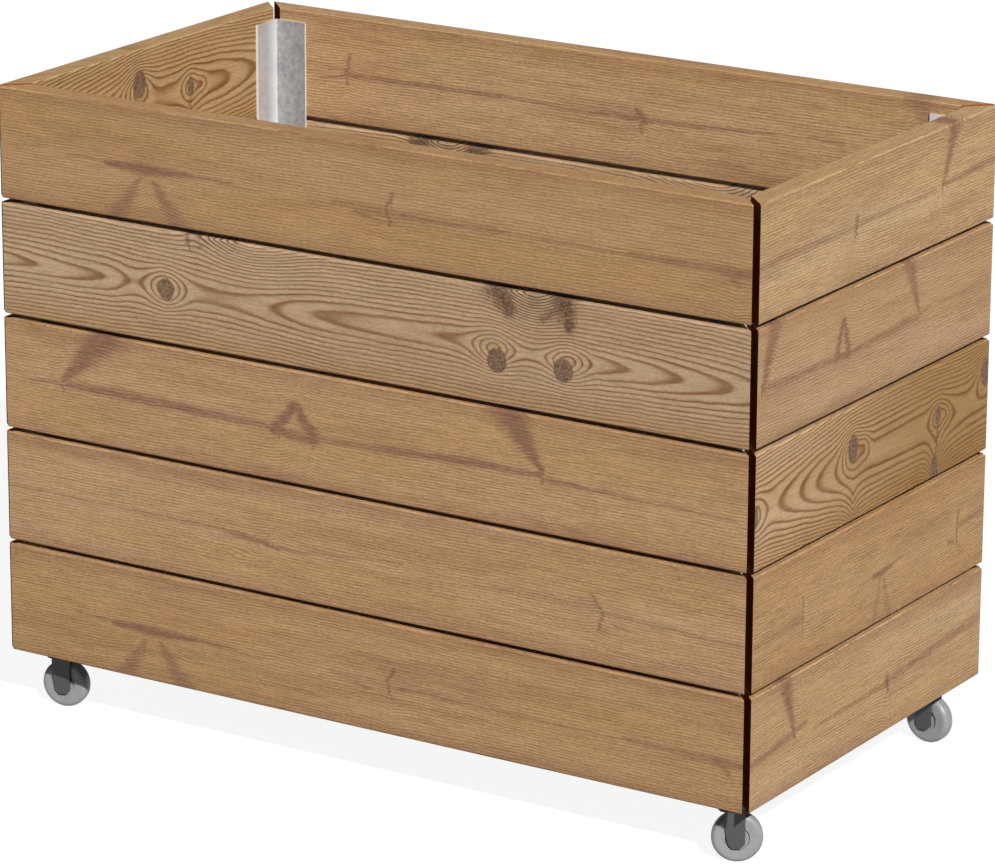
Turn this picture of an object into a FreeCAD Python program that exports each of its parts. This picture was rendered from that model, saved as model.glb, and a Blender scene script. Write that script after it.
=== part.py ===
import FreeCAD, Part
import math
import os

# Open slatted timber box on four swivel castors.
# Millimetres, +Z up, origin on the floor under the middle of the box, -Y is the front.

# ---- driving dimensions ----
BOX_LENGTH = 875.0        # over the points where the outer wall faces would meet, along X
BOX_WIDTH = 480.0         # the same along Y
ROWS = 5                  # boards in each wall
BOARD_HEIGHT = 115.0
BOARD_THICKNESS = 25.0
BOARD_GAP = 5.0           # open slot between one board and the next
BOARD_ARRIS = 2.0         # rounding of the long edges
MITRE_SETBACK = 5.0       # each mitred end stops this far short of the corner

CASTOR_HEIGHT = 67.0      # floor to the underside of the walls
WHEEL_RADIUS = 25.0
WHEEL_WIDTH = 15.0
SWIVEL_X = 400.0          # swivel axes, from the middle of the box
SWIVEL_Y = 197.0
TRAIL = 3.0               # axle behind the swivel axis

ANGLE_LEG = 38.0          # steel angle in each inner corner
ANGLE_SHEET = 2.0
ANGLE_TOP_GAP = 12.5      # below the rim of the box
FOOT_PLATE = 3.0          # plate welded into the bottom of each angle

SLATS = 8                 # floor slats, laid across the box
SLAT_WIDTH = 96.0
SLAT_THICKNESS = 16.0
SLAT_ARRIS = 1.0
BEARER_HEIGHT = 30.0
BEARER_THICKNESS = 25.0
FLOOR_CLEARANCE = 1.0     # between the floor and the walls

# ---- worked out from them ----
ROW_PITCH = BOARD_HEIGHT + BOARD_GAP
WALL_HEIGHT = ROWS * ROW_PITCH - BOARD_GAP
RIM = CASTOR_HEIGHT + WALL_HEIGHT
INNER_X = BOX_LENGTH / 2 - BOARD_THICKNESS
INNER_Y = BOX_WIDTH / 2 - BOARD_THICKNESS
FLOOR_UNDERSIDE = CASTOR_HEIGHT + BEARER_HEIGHT

UP = FreeCAD.Vector(0, 0, 1)
ORIGIN = FreeCAD.Vector(0, 0, 0)

# corner name: side along X, side along Y, angle its castor stands at (degrees from +X)
CORNERS = {
    "front_left": (-1, -1, 13.0),
    "front_right": (1, -1, 31.0),
    "back_left": (-1, 1, 21.0),
    "back_right": (1, 1, -4.0),
}


def vec(x, y, z=0.0):
    return FreeCAD.Vector(x, y, z)


def export(name, shape):
    shape.exportStep("parts/" + name + ".step")


def prism(points, direction):
    """Closed polygon pushed along a vector."""
    return Part.Face(Part.makePolygon(points + points[:1])).extrude(direction)


def block(low, high):
    """Box between two opposite corners."""
    return Part.makeBox(high.x - low.x, high.y - low.y, high.z - low.z, low)


def round_long_edges(solid, radius, direction):
    """Round every straight edge that runs along the given direction."""
    edges = []
    for edge in solid.Edges:
        along = edge.Vertexes[1].Point - edge.Vertexes[0].Point
        if along.Length > 0 and abs(along.normalize().dot(direction)) > 0.999:
            edges.append(edge)
    return solid.makeFillet(radius, edges)


def ring(outer, inner, height, base):
    tube = Part.makeCylinder(outer, height, base)
    return tube.cut(Part.makeCylinder(inner, height, base))


# ---- fasteners ----
FIXING_RADIUS = 2.0
FIXING_HEAD_RADIUS = 4.0
FIXING_HEAD_DEPTH = 2.0
FIXING_TIP = 4.0
SOCKET_RADIUS = 1.7
SOCKET_DEPTH = 1.2


def hexagon(radius, height, base, axis):
    """Six-sided prism; radius is to its corners."""
    side = axis.cross(UP) if abs(axis.dot(UP)) < 0.9 else vec(1, 0, 0)
    side.normalize()
    other = axis.cross(side)
    points = []
    for i in range(6):
        turn = math.radians(60 * i)
        points.append(base + side * (radius * math.cos(turn)) + other * (radius * math.sin(turn)))
    return prism(points, axis * height)


def fixing_blank(head, direction, length):
    """Plain countersunk fixing: flat head at a point, shank along a direction."""
    cone = Part.makeCone(FIXING_HEAD_RADIUS, FIXING_RADIUS, FIXING_HEAD_DEPTH, head, direction)
    neck = head + direction * FIXING_HEAD_DEPTH
    straight = length - FIXING_HEAD_DEPTH - FIXING_TIP
    shank = Part.makeCylinder(FIXING_RADIUS, straight, neck, direction)
    point = Part.makeCone(FIXING_RADIUS, 0.0, FIXING_TIP, neck + direction * straight, direction)
    return cone.fuse([shank, point]).removeSplitter()


class Nail:
    """A nail, driven flush, and the hole of exactly its shape that it sits in."""

    def __init__(self, head, direction, length):
        self.hole = fixing_blank(head, direction, length)
        self.solid = self.hole


class Screw:
    """A screw with a hexagon socket, and the hole of exactly its shape that it sits in."""

    def __init__(self, head, direction, length):
        self.hole = fixing_blank(head, direction, length)
        self.solid = self.hole.cut(hexagon(SOCKET_RADIUS, SOCKET_DEPTH, head, direction))


def drill(shape, fixings):
    """Cut the holes of those fixings that reach the shape."""
    for fixing in fixings:
        if fixing.hole.BoundBox.intersect(shape.BoundBox):
            shape = shape.cut(fixing.hole)
    return shape


# ---- walls ----
def long_board(side, base):
    """Front (side -1) or back (side 1) board with its underside at a height."""
    outer = side * BOX_WIDTH / 2
    inner = side * INNER_Y
    half_outer = BOX_LENGTH / 2 - MITRE_SETBACK
    half_inner = half_outer - BOARD_THICKNESS
    outline = [vec(-half_outer, outer, base), vec(half_outer, outer, base),
               vec(half_inner, inner, base), vec(-half_inner, inner, base)]
    return round_long_edges(prism(outline, UP * BOARD_HEIGHT), BOARD_ARRIS, vec(1, 0))


def end_board(side, base):
    """Left (side -1) or right (side 1) board with its underside at a height."""
    outer = side * BOX_LENGTH / 2
    inner = side * INNER_X
    half_outer = BOX_WIDTH / 2 - MITRE_SETBACK
    half_inner = half_outer - BOARD_THICKNESS
    outline = [vec(outer, -half_outer, base), vec(outer, half_outer, base),
               vec(inner, half_inner, base), vec(inner, -half_inner, base)]
    return round_long_edges(prism(outline, UP * BOARD_HEIGHT), BOARD_ARRIS, vec(0, 1))


WALL_NAIL_LENGTH = 20.0
WALL_NAIL_INSET = 22.0   # from the inner corner


def row_base(row):
    return CASTOR_HEIGHT + (row - 1) * ROW_PITCH


def wall_nails():
    """One nail through each flange into each board."""
    nails = []
    for sx, sy, _ in CORNERS.values():
        for row in range(1, ROWS + 1):
            z = row_base(row) + BOARD_HEIGHT / 2
            on_long = vec(sx * (INNER_X - WALL_NAIL_INSET), sy * (INNER_Y - ANGLE_SHEET), z)
            on_end = vec(sx * (INNER_X - ANGLE_SHEET), sy * (INNER_Y - WALL_NAIL_INSET), z)
            nails.append(Nail(on_long, vec(0, sy), WALL_NAIL_LENGTH))
            nails.append(Nail(on_end, vec(sx, 0), WALL_NAIL_LENGTH))
    return nails


# ---- corner angles ----
STEM_RADIUS = 4.0
STEM_HOLE_RADIUS = 4.25
ANGLE_BEND = 2.0          # outer radius of the bend


def corner_angle(sx, sy):
    """Folded steel angle against both walls, with a foot plate for the castor."""
    bottom = CASTOR_HEIGHT
    top = RIM - ANGLE_TOP_GAP
    corner = vec(sx * INNER_X, sy * INNER_Y, bottom)
    along_x = vec(-sx, 0)
    along_y = vec(0, -sy)
    outline = [corner,
               corner + along_x * ANGLE_LEG,
               corner + along_x * ANGLE_LEG + along_y * ANGLE_SHEET,
               corner + (along_x + along_y) * ANGLE_SHEET,
               corner + along_y * ANGLE_LEG + along_x * ANGLE_SHEET,
               corner + along_y * ANGLE_LEG]
    angle = prism(outline, UP * (top - bottom))
    plate = [corner,
             corner + along_x * ANGLE_LEG,
             corner + (along_x + along_y) * ANGLE_LEG,
             corner + along_y * ANGLE_LEG]
    angle = angle.fuse(prism(plate, UP * FOOT_PLATE)).removeSplitter()
    bend = []
    for edge in angle.Edges:
        middle = (edge.Vertexes[0].Point + edge.Vertexes[-1].Point) * 0.5
        offset = vec(middle.x, middle.y) - vec(corner.x, corner.y)
        if offset.Length < 0.01 and edge.Length > ANGLE_LEG:
            bend.append(edge)
    angle = angle.makeFillet(ANGLE_BEND, bend)
    stem_hole = Part.makeCylinder(STEM_HOLE_RADIUS, FOOT_PLATE, vec(sx * SWIVEL_X, sy * SWIVEL_Y, bottom))
    return angle.cut(stem_hole)


# ---- floor ----
BEARER_SCREWS = 4
BEARER_SCREW_LENGTH = 42.0
BEARER_END_GAP = 2.0      # between a bearer and the corner angles
SLAT_SCREW_LENGTH = 35.0


def bearer_half_length():
    return INNER_X - ANGLE_LEG - BEARER_END_GAP


def floor_bearer(side):
    """Batten along the foot of the front (-1) or back (1) wall."""
    half = bearer_half_length()
    near = side * INNER_Y
    far = side * (INNER_Y - BEARER_THICKNESS)
    low = vec(-half, min(near, far), CASTOR_HEIGHT)
    high = vec(half, max(near, far), FLOOR_UNDERSIDE)
    return round_long_edges(block(low, high), SLAT_ARRIS, vec(1, 0))


def bearer_screws():
    """Screws that hold both bearers to the lowest boards."""
    screws = []
    step = 2 * bearer_half_length() / BEARER_SCREWS
    for side in (-1, 1):
        for i in range(BEARER_SCREWS):
            x = -bearer_half_length() + (i + 0.5) * step
            head = vec(x, side * (INNER_Y - BEARER_THICKNESS), CASTOR_HEIGHT + BEARER_HEIGHT / 2)
            screws.append(Screw(head, vec(0, side), BEARER_SCREW_LENGTH))
    return screws


def slat_pitch():
    gap = (2 * INNER_X - SLATS * SLAT_WIDTH) / (SLATS + 1)
    return SLAT_WIDTH + gap


def slat_centre(number):
    return (number - (SLATS + 1) / 2) * slat_pitch()


def floor_slat(number):
    """Slat across the box; the two outermost are notched round the corner angles."""
    x = slat_centre(number)
    half_length = INNER_Y - FLOOR_CLEARANCE
    low = vec(x - SLAT_WIDTH / 2, -half_length, FLOOR_UNDERSIDE)
    high = vec(x + SLAT_WIDTH / 2, half_length, FLOOR_UNDERSIDE + SLAT_THICKNESS)
    slat = round_long_edges(block(low, high), SLAT_ARRIS, vec(0, 1))
    if number in (1, SLATS):
        notch = ANGLE_LEG + FLOOR_CLEARANCE
        for sx, sy, _ in CORNERS.values():
            corner = vec(sx * INNER_X, sy * INNER_Y, FLOOR_UNDERSIDE)
            across = corner - vec(sx * notch, sy * notch)
            outline = [corner, vec(across.x, corner.y, corner.z), across, vec(corner.x, across.y, corner.z)]
            slat = slat.cut(prism(outline, UP * SLAT_THICKNESS))
    return slat


def slat_screws():
    """One screw down through each end of each slat."""
    screws = []
    top = FLOOR_UNDERSIDE + SLAT_THICKNESS
    for number in range(1, SLATS + 1):
        x = slat_centre(number)
        limit = bearer_half_length() - 2 * FIXING_HEAD_RADIUS
        x = max(-limit, min(limit, x))
        for side in (-1, 1):
            head = vec(x, side * (INNER_Y - BEARER_THICKNESS / 2), top)
            screws.append(Screw(head, -UP, SLAT_SCREW_LENGTH))
    return screws


# ---- castors, drawn with the swivel axis at the origin and the axle along Y ----
HEAD_RADIUS = 17.0
HEAD_THICKNESS = 6.2
SKIRT_HEIGHT = 4.1        # hides the balls
SKIRT_SHEET = 2.0
BALL_RADIUS = 2.15
BALL_CIRCLE = 12.0
BALLS = 14
RACE_SPACE = 4.6          # between the head and the fork
STEM_TOP = 13.0           # above the underside of the walls
RIVET_RADIUS = 6.5
RIVET_HEIGHT = 2.0
RUNNING_CLEARANCE = 0.05
LOOSE_CLEARANCE = 0.3

FORK_SHEET = 2.0
FORK_INNER = 8.7          # from the middle plane to the inside of each leg
FORK_BEND = 3.0           # outer radius where the crown turns down
CROWN_NECK = 1.5          # height over which the crown narrows to the legs
LEG_FRONT = 7.5           # straight edge, ahead of the axle
LEG_REAR_TOP = 12.2       # rear edge above its taper, behind the axle
LEG_REAR_FOOT = 9.0       # rear edge below its taper
LEG_TAPER_TOP = 13.3      # above the axle
LEG_CORNER = 5.0          # below the axle, where the foot is cut off
LEG_FOOT = 9.8            # below the axle
FOOT_FRONT = 2.6          # ends of the foot's flat, from the axle
FOOT_REAR = 4.8

AXLE_RADIUS = 3.0
HUB_RADIUS = 6.5
HUB_CLEARANCE = 0.3       # hub to the inside of each leg
RECESS_RADIUS = 12.0
RECESS_DEPTH = 2.0
TREAD_ROUND = 5.0

NUT_RADIUS = 7.5
NUT_HEIGHT = 6.5
WASHER_RADIUS = 8.0
WASHER_SHEET = 1.5

AXLE_HEIGHT = WHEEL_RADIUS
HEAD_UNDERSIDE = CASTOR_HEIGHT - HEAD_THICKNESS
CROWN_TOP = HEAD_UNDERSIDE - RACE_SPACE
CROWN_UNDERSIDE = CROWN_TOP - FORK_SHEET
FORK_OUTER = FORK_INNER + FORK_SHEET


def castor_head():
    """Fixed half of the swivel: disc with a skirt, and the riveted stem through it."""
    disc = Part.makeCylinder(HEAD_RADIUS, HEAD_THICKNESS, vec(0, 0, HEAD_UNDERSIDE))
    skirt_foot = vec(0, 0, HEAD_UNDERSIDE - SKIRT_HEIGHT)
    skirt = ring(HEAD_RADIUS, HEAD_RADIUS - SKIRT_SHEET, SKIRT_HEIGHT, skirt_foot)
    rivet_top = CROWN_UNDERSIDE - LOOSE_CLEARANCE
    rivet = Part.makeCylinder(RIVET_RADIUS, RIVET_HEIGHT, vec(0, 0, rivet_top - RIVET_HEIGHT))
    stem_foot = rivet_top - RIVET_HEIGHT
    stem = Part.makeCylinder(STEM_RADIUS, CASTOR_HEIGHT + STEM_TOP - stem_foot, vec(0, 0, stem_foot))
    return disc.fuse([skirt, rivet, stem]).removeSplitter()


def ball_ring():
    """Ring of separate steel balls against the head, just clear of the fork."""
    middle = HEAD_UNDERSIDE - BALL_RADIUS
    balls = []
    for i in range(BALLS):
        turn = 2 * math.pi * i / BALLS
        centre = vec(BALL_CIRCLE * math.cos(turn), BALL_CIRCLE * math.sin(turn), middle)
        balls.append(Part.makeSphere(BALL_RADIUS, centre))
    return Part.makeCompound(balls)


def fork_side_outline():
    """Side view of the fork, as a prism across its whole width."""
    neck = CROWN_UNDERSIDE - CROWN_NECK
    points = [(TRAIL - FOOT_REAR, AXLE_HEIGHT - LEG_FOOT),
              (TRAIL + FOOT_FRONT, AXLE_HEIGHT - LEG_FOOT),
              (TRAIL + LEG_FRONT, AXLE_HEIGHT - LEG_CORNER),
              (TRAIL + LEG_FRONT, neck),
              (HEAD_RADIUS, CROWN_UNDERSIDE),
              (HEAD_RADIUS, CROWN_TOP),
              (-HEAD_RADIUS, CROWN_TOP),
              (-HEAD_RADIUS, CROWN_UNDERSIDE),
              (TRAIL - LEG_REAR_TOP, neck),
              (TRAIL - LEG_REAR_TOP, AXLE_HEIGHT + LEG_TAPER_TOP),
              (TRAIL - LEG_REAR_FOOT, AXLE_HEIGHT - LEG_CORNER)]
    outline = [vec(x, -FORK_OUTER, z) for x, z in points]
    return prism(outline, vec(0, 2 * FORK_OUTER))


def fork():
    """Pressed fork: a round crown with two legs folded down, holed for stem and axle."""
    foot = AXLE_HEIGHT - LEG_FOOT
    outer = block(vec(-HEAD_RADIUS, -FORK_OUTER, foot), vec(HEAD_RADIUS, FORK_OUTER, CROWN_TOP))
    top_edges = [e for e in outer.Edges if e.BoundBox.ZMin > CROWN_TOP - 0.01 and e.BoundBox.YLength < 0.01]
    outer = outer.makeFillet(FORK_BEND, top_edges)
    inner = block(vec(-HEAD_RADIUS, -FORK_INNER, foot), vec(HEAD_RADIUS, FORK_INNER, CROWN_UNDERSIDE))
    inner_edges = [e for e in inner.Edges
                   if e.BoundBox.ZMin > CROWN_UNDERSIDE - 0.01 and e.BoundBox.YLength < 0.01]
    inner = inner.makeFillet(FORK_BEND - FORK_SHEET, inner_edges)
    crown_disc = Part.makeCylinder(HEAD_RADIUS, CROWN_TOP - foot, vec(0, 0, foot))
    sheet = outer.cut(inner).common(crown_disc).common(fork_side_outline())
    stem_hole = Part.makeCylinder(STEM_RADIUS + RUNNING_CLEARANCE, 2 * FORK_SHEET,
                                  vec(0, 0, CROWN_UNDERSIDE - FORK_SHEET / 2))
    return sheet.cut(stem_hole).cut(axle())


def axle():
    """Pin riveted flush with the outside of both legs."""
    return Part.makeCylinder(AXLE_RADIUS, 2 * FORK_OUTER, vec(TRAIL, -FORK_OUTER, AXLE_HEIGHT), vec(0, 1))


def wheel_section():
    """Half section of the wheel: radius along X, axle along Y, before it is turned."""
    half = WHEEL_WIDTH / 2
    hub_half = FORK_INNER - HUB_CLEARANCE
    bore = AXLE_RADIUS + RUNNING_CLEARANCE
    floor = half - RECESS_DEPTH
    shoulder = WHEEL_RADIUS - TREAD_ROUND
    turn = TREAD_ROUND * math.sin(math.pi / 4)
    upper = [(bore, 0.0), (bore, hub_half), (HUB_RADIUS, hub_half), (HUB_RADIUS, floor),
             (RECESS_RADIUS, floor), (RECESS_RADIUS, half), (shoulder, half)]
    centre = (shoulder, half - TREAD_ROUND)
    edges = []
    for sign in (1, -1):
        points = [vec(r, sign * y) for r, y in upper]
        for start, end in zip(points, points[1:]):
            edges.append(Part.makeLine(start, end))
        middle = vec(centre[0] + turn, sign * (centre[1] + turn))
        tread_edge = vec(WHEEL_RADIUS, sign * centre[1])
        edges.append(Part.Arc(points[-1], middle, tread_edge).toShape())
    edges.append(Part.makeLine(vec(WHEEL_RADIUS, -centre[1]), vec(WHEEL_RADIUS, centre[1])))
    return Part.Face(Part.Wire(Part.__sortEdges__(edges)))


def wheel():
    """Solid plastic wheel turned about its axle."""
    turned = wheel_section().revolve(ORIGIN, vec(0, 1), 360)
    turned.translate(vec(TRAIL, 0, AXLE_HEIGHT))
    return turned


def nut():
    """Hexagon nut on the stem, above the foot plate and washer."""
    base = CASTOR_HEIGHT + FOOT_PLATE + WASHER_SHEET
    blank = hexagon(NUT_RADIUS, NUT_HEIGHT, vec(0, 0, base), UP)
    return blank.cut(Part.makeCylinder(STEM_RADIUS, NUT_HEIGHT, vec(0, 0, base)))


def washer():
    return ring(WASHER_RADIUS, STEM_HOLE_RADIUS, WASHER_SHEET, vec(0, 0, CASTOR_HEIGHT + FOOT_PLATE))


def placed(shape, corner):
    """A castor piece turned to its own angle and moved under its corner."""
    sx, sy, turn = CORNERS[corner]
    moved = shape.copy()
    moved.rotate(ORIGIN, UP, turn)
    moved.translate(vec(sx * SWIVEL_X, sy * SWIVEL_Y))
    return moved


# ---- writing the parts ----
def write_walls(nails, bearer_fixings):
    for row in range(1, ROWS + 1):
        base = row_base(row)
        for name, side in (("front", -1), ("back", 1)):
            board = drill(long_board(side, base), nails + bearer_fixings)
            export(name + "_board_" + str(row), board)
        for name, side in (("left", -1), ("right", 1)):
            export(name + "_board_" + str(row), drill(end_board(side, base), nails))
    for corner, (sx, sy, _) in CORNERS.items():
        export("corner_angle_" + corner, drill(corner_angle(sx, sy), nails))
    export("wall_nails", Part.makeCompound([nail.solid for nail in nails]))


def write_floor(bearer_fixings, slat_fixings):
    for name, side in (("front", -1), ("back", 1)):
        export("floor_bearer_" + name, drill(floor_bearer(side), bearer_fixings + slat_fixings))
    for number in range(1, SLATS + 1):
        export("floor_slat_" + str(number), drill(floor_slat(number), slat_fixings))
    export("bearer_screws", Part.makeCompound([screw.solid for screw in bearer_fixings]))
    export("floor_screws", Part.makeCompound([screw.solid for screw in slat_fixings]))


def write_castors():
    pieces = {"head": castor_head(), "balls": ball_ring(), "fork": fork(), "axle": axle(), "wheel": wheel()}
    for corner in CORNERS:
        for name, shape in pieces.items():
            export("castor_" + corner + "_" + name, placed(shape, corner))
    export("castor_nuts", Part.makeCompound([placed(nut(), corner) for corner in CORNERS]))
    export("castor_washers", Part.makeCompound([placed(washer(), corner) for corner in CORNERS]))


def main():
    os.makedirs("parts", exist_ok=True)
    corner_fixings = wall_nails()
    bearer_fixings = bearer_screws()
    write_walls(corner_fixings, bearer_fixings)
    write_floor(bearer_fixings, slat_screws())
    write_castors()


main()
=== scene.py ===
"""Looks for the slatted timber box on castors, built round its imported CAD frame. Metres, +Z up."""
import math

import bmesh
import bpy
from mathutils import Euler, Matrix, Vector


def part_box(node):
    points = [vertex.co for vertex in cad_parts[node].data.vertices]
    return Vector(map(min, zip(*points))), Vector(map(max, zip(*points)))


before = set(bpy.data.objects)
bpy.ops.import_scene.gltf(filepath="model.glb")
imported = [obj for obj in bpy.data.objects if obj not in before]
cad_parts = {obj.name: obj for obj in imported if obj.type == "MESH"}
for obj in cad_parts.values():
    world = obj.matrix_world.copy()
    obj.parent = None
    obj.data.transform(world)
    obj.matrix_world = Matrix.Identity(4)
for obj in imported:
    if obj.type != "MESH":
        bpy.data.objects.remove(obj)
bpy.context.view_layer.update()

WALL_YAW = {"front": 0.0, "right": 90.0, "back": 180.0, "left": 270.0}
CALM_RING = 0.0031          # distance between the grain lines of a calm board
GRAIN_PROFILE = [(0.0, 0.40), (0.12, 0.0), (0.48, 0.0), (0.74, 0.65), (0.86, 1.0), (1.0, 0.40)]
RING_PROFILE = [(0.0, 0.50), (0.08, 0.06), (0.30, 0.0), (0.60, 0.16), (0.80, 0.90), (0.94, 1.0), (1.0, 0.50)]
CAMERA_PLACE = (2.6908, -4.2429, 1.8432)
CAMERA_PITCH, CAMERA_HEADING, CAMERA_ROLL = 16.964, 32.332, 0.259       # degrees
CAMERA_LENS = 187.84        # on a sensor 36 wide
KEY_FROM = (0.60, -0.53, 0.56)
FILL_FROM = (-0.73, 0.68, 0.05)
WORLD_LIGHT = 0.13
FLOOR_REACH = 14.0
FLOOR_LEVEL = -0.0002       # just clear of the wheels
DOME_RADIUS = 30.0


def srgb(red, green, blue, alpha=1.0):
    """A linear colour from display values of 0 to 255."""
    channels = [value / 255.0 for value in (red, green, blue)]
    linear = [c / 12.92 if c <= 0.04045 else ((c + 0.055) / 1.055) ** 2.4 for c in channels]
    return (*linear, alpha)


TAN = srgb(187, 151, 113)
GOLDEN = srgb(183, 145, 102)
ROSE = srgb(160, 122, 90)
LINE = srgb(132, 93, 58)
STAIN = srgb(128, 90, 70)
BEIGE = srgb(186, 158, 129)
BEIGE_WARM = srgb(172, 139, 103)
KNOT = srgb(82, 58, 42)
KNOT_PALE = srgb(134, 107, 84)
# End grain is darker than the faces; this brown is darkened further as painted shade for the slots between
# the boards.
END_GRAIN_AND_SHADE = srgb(135, 76, 34)
ZINC_PALE = srgb(196, 191, 188)
ZINC_WARM = srgb(178, 172, 169)
# Painted shade: the darker zinc greys for the flanges that face front or back on the left half of the box.
ZINC_SHADED_GREY = srgb(174, 175, 176)
ZINC_SHADED_DARK = srgb(140, 141, 143)
# Pale zinc for a painted highlight near the folds and for a thin strip at the free edges.
ZINC_EDGE_AND_HIGHLIGHT = srgb(238, 238, 236)
CUT_EDGE = 0.1775           # how far from the middle plane the free edges of the end flanges lie
FOLD = 0.2120               # and how far their folded edges


class Graph:
    """Adds nodes to a node tree. Each method returns the new node's output socket."""

    def __init__(self, tree):
        self.tree = tree

    def feed(self, socket, value):
        if isinstance(value, bpy.types.NodeSocket):
            self.tree.links.new(value, socket)
        else:
            socket.default_value = value

    def node(self, kind, **settings):
        node = self.tree.nodes.new("ShaderNode" + kind)
        for name, value in settings.items():
            setattr(node, name, value)
        return node

    def math(self, operation, *values, clamp=False):
        node = self.node("Math", operation=operation, use_clamp=clamp)
        for socket, value in zip(node.inputs, values):
            self.feed(socket, value)
        return node.outputs[0]

    def vector(self, operation, *values, result="Vector"):
        node = self.node("VectorMath", operation=operation)
        for socket, value in zip(node.inputs, values):
            self.feed(socket, value)
        return node.outputs[result]

    def split(self, vector):
        node = self.node("SeparateXYZ")
        self.feed(node.inputs[0], vector)
        return node.outputs

    def join(self, x, y, z):
        node = self.node("CombineXYZ")
        for socket, value in zip(node.inputs, (x, y, z)):
            self.feed(socket, value)
        return node.outputs[0]

    def noise(self, vector, stretch, detail=2.0, roughness=0.5):
        """Noise of about 0 to 1, with its own frequency along each axis."""
        node = self.node("TexNoise")
        self.feed(node.inputs["Vector"], self.vector("MULTIPLY", vector, stretch))
        node.inputs["Scale"].default_value = 1.0
        node.inputs["Detail"].default_value = detail
        node.inputs["Roughness"].default_value = roughness
        return node.outputs[0]

    def centred(self, value, size):
        """A 0 to 1 value turned into one of -size to +size."""
        return self.math("MULTIPLY", self.math("SUBTRACT", value, 0.5), 2.0 * size)

    def fit(self, value, low, high, new_low=0.0, new_high=1.0, smooth=False):
        node = self.node("MapRange", interpolation_type="SMOOTHSTEP" if smooth else "LINEAR")
        for name, number in zip(("Value", "From Min", "From Max", "To Min", "To Max"),
                                (value, low, high, new_low, new_high)):
            self.feed(node.inputs[name], number)
        return node.outputs[0]

    def ramp(self, value, stops):
        """A grey ramp through the (place, value) stops."""
        node = self.node("ValToRGB")
        elements = node.color_ramp.elements
        while len(elements) < len(stops):
            elements.new(0.5)
        for element, (place, grey) in zip(elements, stops):
            element.position = place
            element.color = (grey, grey, grey, 1.0)
        self.feed(node.inputs[0], value)
        return node.outputs[0]

    def curve(self, value, points):
        """A smooth curve through the (x, y) points, both of 0 to 1."""
        node = self.node("FloatCurve")
        line = node.mapping.curves[0]
        while len(line.points) < len(points):
            line.points.new(0.5, 0.5)
        for point, place in zip(line.points, points):
            point.location = place
        node.mapping.update()
        self.feed(node.inputs["Value"], value)
        return node.outputs[0]

    def mix(self, factor, first, second, blend="MIX"):
        node = self.node("Mix", data_type="RGBA", blend_type=blend, clamp_factor=True)
        self.feed(node.inputs["Factor"], factor)
        self.feed(node.inputs[6], first)
        self.feed(node.inputs[7], second)
        return node.outputs[2]

    def bump(self, height, distance, strength=1.0):
        node = self.node("Bump")
        node.inputs["Strength"].default_value = strength
        node.inputs["Distance"].default_value = distance
        self.feed(node.inputs["Height"], height)
        return node.outputs[0]

    def group(self, tree, **values):
        node = self.node("Group", node_tree=tree)
        for name, value in values.items():
            self.feed(node.inputs[name.replace("_", " ")], value)
        return node.outputs


def new_group(name, inputs, outputs):
    """An empty node group: inputs and outputs are lists of (name, socket type)."""
    tree = bpy.data.node_groups.new(name, "ShaderNodeTree")
    for socket, kind in inputs:
        tree.interface.new_socket(socket, in_out="INPUT", socket_type=kind)
    for socket, kind in outputs:
        tree.interface.new_socket(socket, in_out="OUTPUT", socket_type=kind)
    source = tree.nodes.new("NodeGroupInput")
    sink = tree.nodes.new("NodeGroupOutput")
    return Graph(tree), source.outputs, sink.inputs


def stroke_group():
    """1 on the line from Start to End, fading out past Width, which may taper to Tip at End."""
    graph, source, sink = new_group(
        "stroke",
        [("Point", "NodeSocketVector"), ("Start", "NodeSocketVector"), ("End", "NodeSocketVector"),
         ("Width", "NodeSocketFloat"), ("Tip", "NodeSocketFloat")],
        [("Mask", "NodeSocketFloat")])
    run = graph.vector("SUBTRACT", source["End"], source["Start"])
    reach = graph.vector("SUBTRACT", source["Point"], source["Start"])
    along = graph.vector("DOT_PRODUCT", reach, run, result="Value")
    whole = graph.vector("DOT_PRODUCT", run, run, result="Value")
    share = graph.math("DIVIDE", along, whole, clamp=True)
    node = graph.node("VectorMath", operation="SCALE")
    graph.feed(node.inputs[0], run)
    graph.feed(node.inputs["Scale"], share)
    away = graph.vector("LENGTH", graph.vector("SUBTRACT", reach, node.outputs[0]), result="Value")
    taper = graph.math("MULTIPLY", share, graph.math("SUBTRACT", source["Tip"], source["Width"]))
    ratio = graph.math("DIVIDE", away, graph.math("ADD", source["Width"], taper))
    fade = graph.math("EXPONENT", graph.math("MULTIPLY", graph.math("POWER", ratio, 3.0), -1.0))
    graph.feed(sink["Mask"], fade)
    return graph.tree


def knot_group():
    """A knot: Bump is a smooth hill round Centre of radii Spread, Core a disc of radii Size."""
    graph, source, sink = new_group(
        "knot",
        [("Point", "NodeSocketVector"), ("Centre", "NodeSocketVector"), ("Spread", "NodeSocketVector"),
         ("Size", "NodeSocketVector")],
        [("Bump", "NodeSocketFloat"), ("Core", "NodeSocketFloat")])
    away = graph.vector("SUBTRACT", source["Point"], source["Centre"])
    far = graph.vector("DIVIDE", away, source["Spread"])
    square = graph.vector("DOT_PRODUCT", far, far, result="Value")
    graph.feed(sink["Bump"], graph.math("EXPONENT", graph.math("MULTIPLY", square, -1.0)))
    near = graph.vector("LENGTH", graph.vector("DIVIDE", away, source["Size"]), result="Value")
    graph.feed(sink["Core"], graph.fit(near, 1.08, 0.92, smooth=True))
    return graph.tree


STROKE = stroke_group()
KNOT_HILL = knot_group()


def flat(mark, depth=0.0):
    """A place or size on a board's face, given in millimetres, as a vector in metres."""
    return (mark[0] / 1000.0, mark[1] / 1000.0, depth)


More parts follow.
